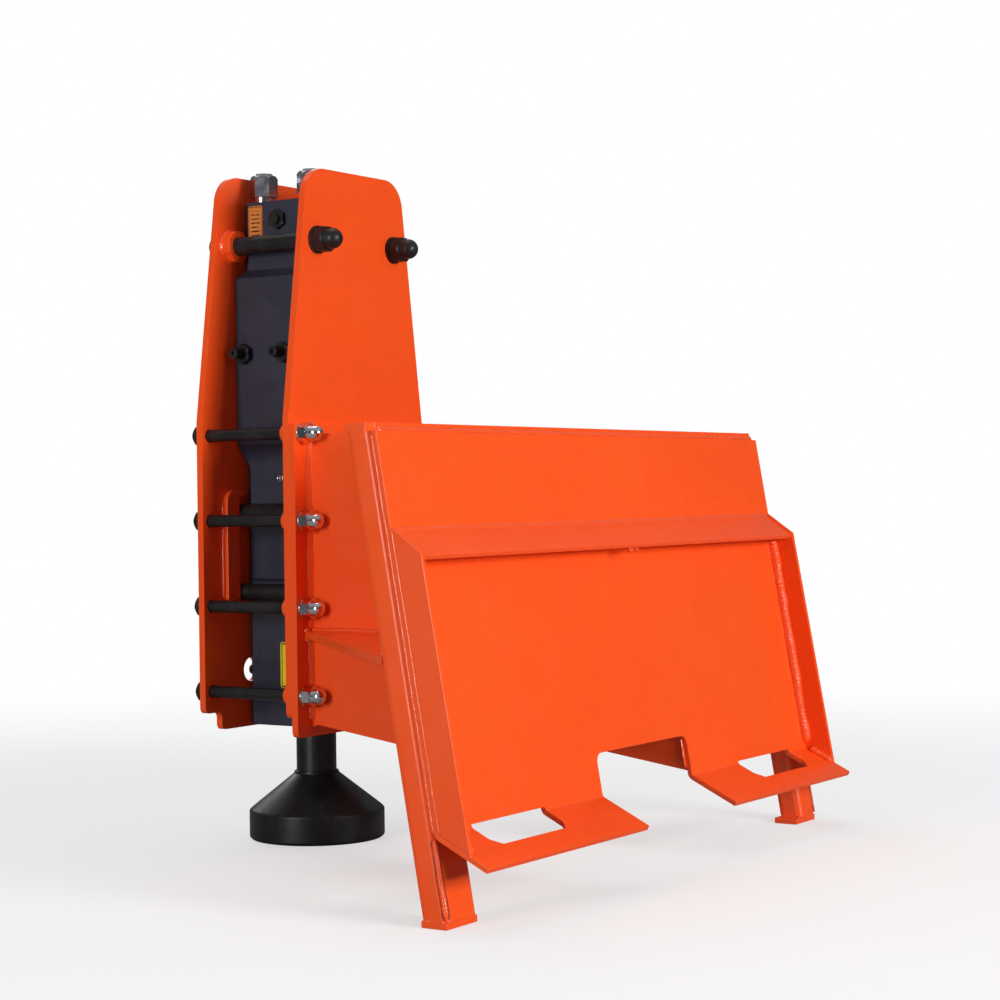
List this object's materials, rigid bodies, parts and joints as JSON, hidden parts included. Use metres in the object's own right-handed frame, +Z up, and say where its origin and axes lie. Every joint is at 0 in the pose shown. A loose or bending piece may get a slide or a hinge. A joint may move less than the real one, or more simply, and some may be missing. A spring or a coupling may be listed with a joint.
{
  "type": "hydraulic breaker hammer",
  "caption": "Skid-steer mounted hydraulic breaker that drives posts, with side plates, leaning quick-attach plate, stand legs and a cup tool.",
  "frame": {"origin": "centre of the driving cup's mouth, on the ground, on the tool's axis", "axes": "+Z up along the tool's axis, -Y towards the quick-attach plate and the carrier machine, X across the machine"},
  "size_m": [1.15, 0.8451, 1.128],
  "materials": {
    "painted_steel": "gloss",
    "black_casting": "satin",
    "black_oxide": "satin",
    "chrome": "polished",
    "hard_steel": "satin",
    "bush_bronze": "satin",
    "rubber": "matte",
    "tool_steel": "satin",
    "label_film": "satin"
  },
  "bodies": {
    "frame": {"skid_plate": "painted_steel", "hook_lip": "painted_steel", "side_gusset_left": "painted_steel", "side_gusset_right": "painted_steel", "top_cover": "painted_steel", "stand_leg_left": "painted_steel", "stand_leg_right": "painted_steel", "foot_plate_left": "painted_steel", "foot_plate_right": "painted_steel", "adapter_flange": "painted_steel", "adapter_side_left": "painted_steel", "adapter_side_right": "painted_steel", "side_brace_left": "painted_steel", "side_brace_right": "painted_steel", "side_plate_near": "painted_steel", "side_plate_far": "painted_steel", "top_bosses": "painted_steel", "rod_collars": "painted_steel", "key_brackets_near": "painted_steel", "key_brackets_far": "painted_steel", "upper_keys": "black_oxide", "lower_keys": "black_oxide", "top_bolts": "black_oxide", "top_cap_nuts": "black_oxide", "tie_bolts": "black_oxide", "tie_washers": "chrome", "tie_acorn_nuts": "chrome", "back_head": "black_casting", "cylinder": "black_casting", "front_head": "black_casting", "through_bolts": "black_oxide", "hose_adapters": "black_oxide", "adapter_caps": "chrome", "gas_valve": "black_oxide", "gas_valve_cap": "black_oxide", "adjuster_lock_nuts": "black_oxide", "grease_nipple": "chrome", "front_bush": "bush_bronze", "upper_bush": "bush_bronze", "thrust_ring": "hard_steel", "dust_seal": "rubber", "retaining_pins": "hard_steel", "pin_plugs": "rubber", "pin_lock_rod": "black_oxide", "seal_carrier": "hard_steel", "gas_seals": "rubber", "oil_seals": "rubber", "valve_sleeve": "hard_steel", "valve_plug": "hard_steel", "head_label": "label_film", "front_label": "label_film"},
    "tool": {"tool_shank": "tool_steel", "driving_cup": "tool_steel"},
    "piston": {"piston": "hard_steel"},
    "spool": {"valve_spool": "hard_steel"},
    "stroke_screw": {"cylinder_adjuster": "black_oxide"},
    "valve_screw": {"valve_adjuster": "black_oxide"}
  },
  "joints": [
    {"name": "tool_slide", "type": "slide", "parent": "frame", "child": "tool", "axis": [0, 0, 1], "range_m": [-0.05, 0]},
    {"name": "piston_slide", "type": "slide", "parent": "frame", "child": "piston", "axis": [0, 0, 1], "range_m": [0, 0.075]},
    {"name": "spool_slide", "type": "slide", "parent": "frame", "child": "spool", "axis": [0, 0, 1], "range_m": [0, 0.012]},
    {"name": "stroke_screw_turn", "type": "hinge", "parent": "frame", "child": "stroke_screw", "pos_m": [-0.1, 0.062, 0.822], "axis": [-1, 0, 0], "range_deg": [-360, 360]},
    {"name": "valve_screw_turn", "type": "hinge", "parent": "frame", "child": "valve_screw", "pos_m": [-0.1, -0.022, 0.822], "axis": [-1, 0, 0], "range_deg": [-360, 360]}
  ]
}
